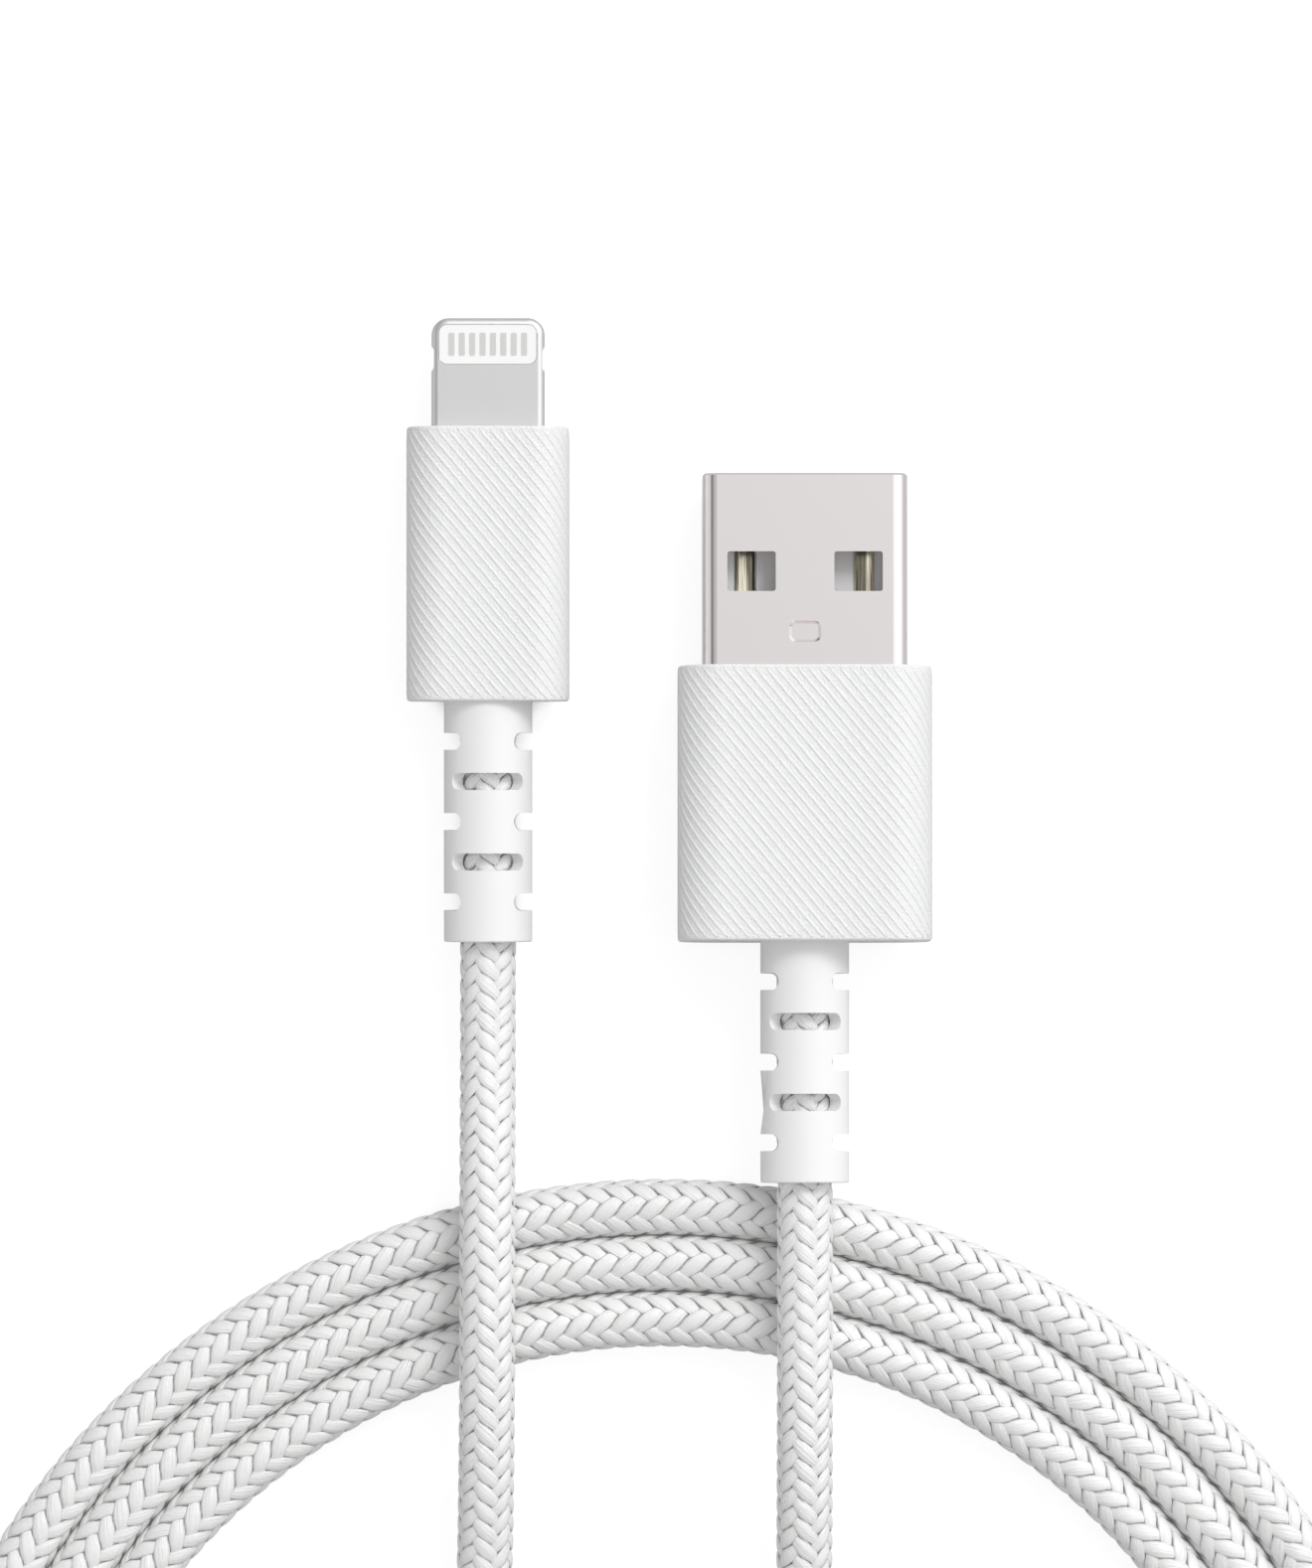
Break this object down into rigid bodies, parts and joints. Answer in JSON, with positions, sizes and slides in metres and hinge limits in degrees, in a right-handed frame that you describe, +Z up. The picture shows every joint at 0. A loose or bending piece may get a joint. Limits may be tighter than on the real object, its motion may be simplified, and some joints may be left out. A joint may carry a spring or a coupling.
{
  "type": "charging cable",
  "caption": "Braided charging cable, loosely coiled, with a flat A plug at one end, a small reversible blade plug at the other, and slotted strain-relief boots.",
  "frame": {"origin": "centre of the box round the two plugs, on the surface that they lie on", "axes": "+Z up from the surface; +Y the way that both plugs point; +X from the blade plug to the A plug"},
  "size_m": [0.0903, 0.1343, 0.0084],
  "materials": {
    "blade_metal": "satin",
    "white_insulator": "matt",
    "contact_plating": "satin",
    "board_laminate": "solder-resist, satin",
    "chip_package": "moulded, matt",
    "ceramic_capacitor": "fired ceramic",
    "shield_steel": "tin plated",
    "inner_mould": "moulded, translucent white",
    "wire_red": "insulation",
    "wire_black": "insulation",
    "wire_white": "insulation",
    "wire_green": "insulation",
    "housing_white": "fine diagonal ridges",
    "boot_white": "satin, flexible",
    "shell_steel": "nickel plated, satin",
    "contact_gilt": "gold plated",
    "cord_braid": "braided polyester yarn"
  },
  "bodies": {
    "root": {"blade_frame": "blade_metal", "blade_contact_carrier": "white_insulator", "blade_contacts_front": "contact_plating", "blade_contacts_back": "contact_plating", "blade_circuit_board": "board_laminate", "blade_chip": "chip_package", "blade_capacitors": "ceramic_capacitor", "blade_shield_upper": "shield_steel", "blade_shield_lower": "shield_steel", "blade_inner_mould": "inner_mould", "blade_wire_power": "wire_red", "blade_wire_ground": "wire_black", "blade_wire_data_minus": "wire_white", "blade_wire_data_plus": "wire_green", "blade_housing": "housing_white", "blade_boot": "boot_white", "a_shell": "shell_steel", "a_tongue": "white_insulator", "a_contact_power": "contact_gilt", "a_contact_data_minus": "contact_gilt", "a_contact_data_plus": "contact_gilt", "a_contact_ground": "contact_gilt", "a_shield_upper": "shield_steel", "a_shield_lower": "shield_steel", "a_inner_mould": "inner_mould", "a_wire_power": "wire_red", "a_wire_data_minus": "wire_white", "a_wire_data_plus": "wire_green", "a_wire_ground": "wire_black", "a_housing": "housing_white", "a_boot": "boot_white", "cord_tail_blade": "cord_braid", "cord_coil": "cord_braid", "cord_tail_a": "cord_braid"}
  },
  "joints": []
}
